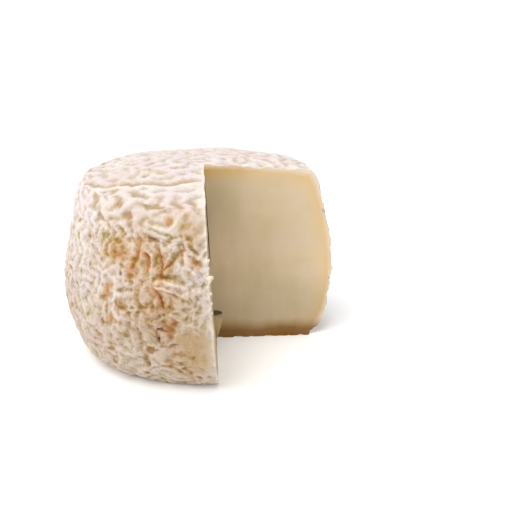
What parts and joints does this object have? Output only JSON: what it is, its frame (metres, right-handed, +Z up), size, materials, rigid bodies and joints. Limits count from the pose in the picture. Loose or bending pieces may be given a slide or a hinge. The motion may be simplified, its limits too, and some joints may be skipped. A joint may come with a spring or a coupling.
{
  "type": "crottin goat cheese",
  "caption": "Small drum-shaped ripened goat cheese with a deeply wrinkled rind, a quarter cut out from top to base to show the smooth paste.",
  "frame": {"origin": "centre of the underside, on the drum's axis, at the level of the surface that it stands on", "axes": "+Z up along the drum's axis; the back cut face of the removed quarter lies in the plane y = 0 and faces -Y, and the left cut face, near x = 0, faces +X"},
  "size_m": [0.0599, 0.0598, 0.0402],
  "materials": {
    "cheese": "matt, dry and dusty wrinkled rind, ivory where it is cut"
  },
  "bodies": {
    "root": {"crottin": "cheese"}
  },
  "joints": []
}
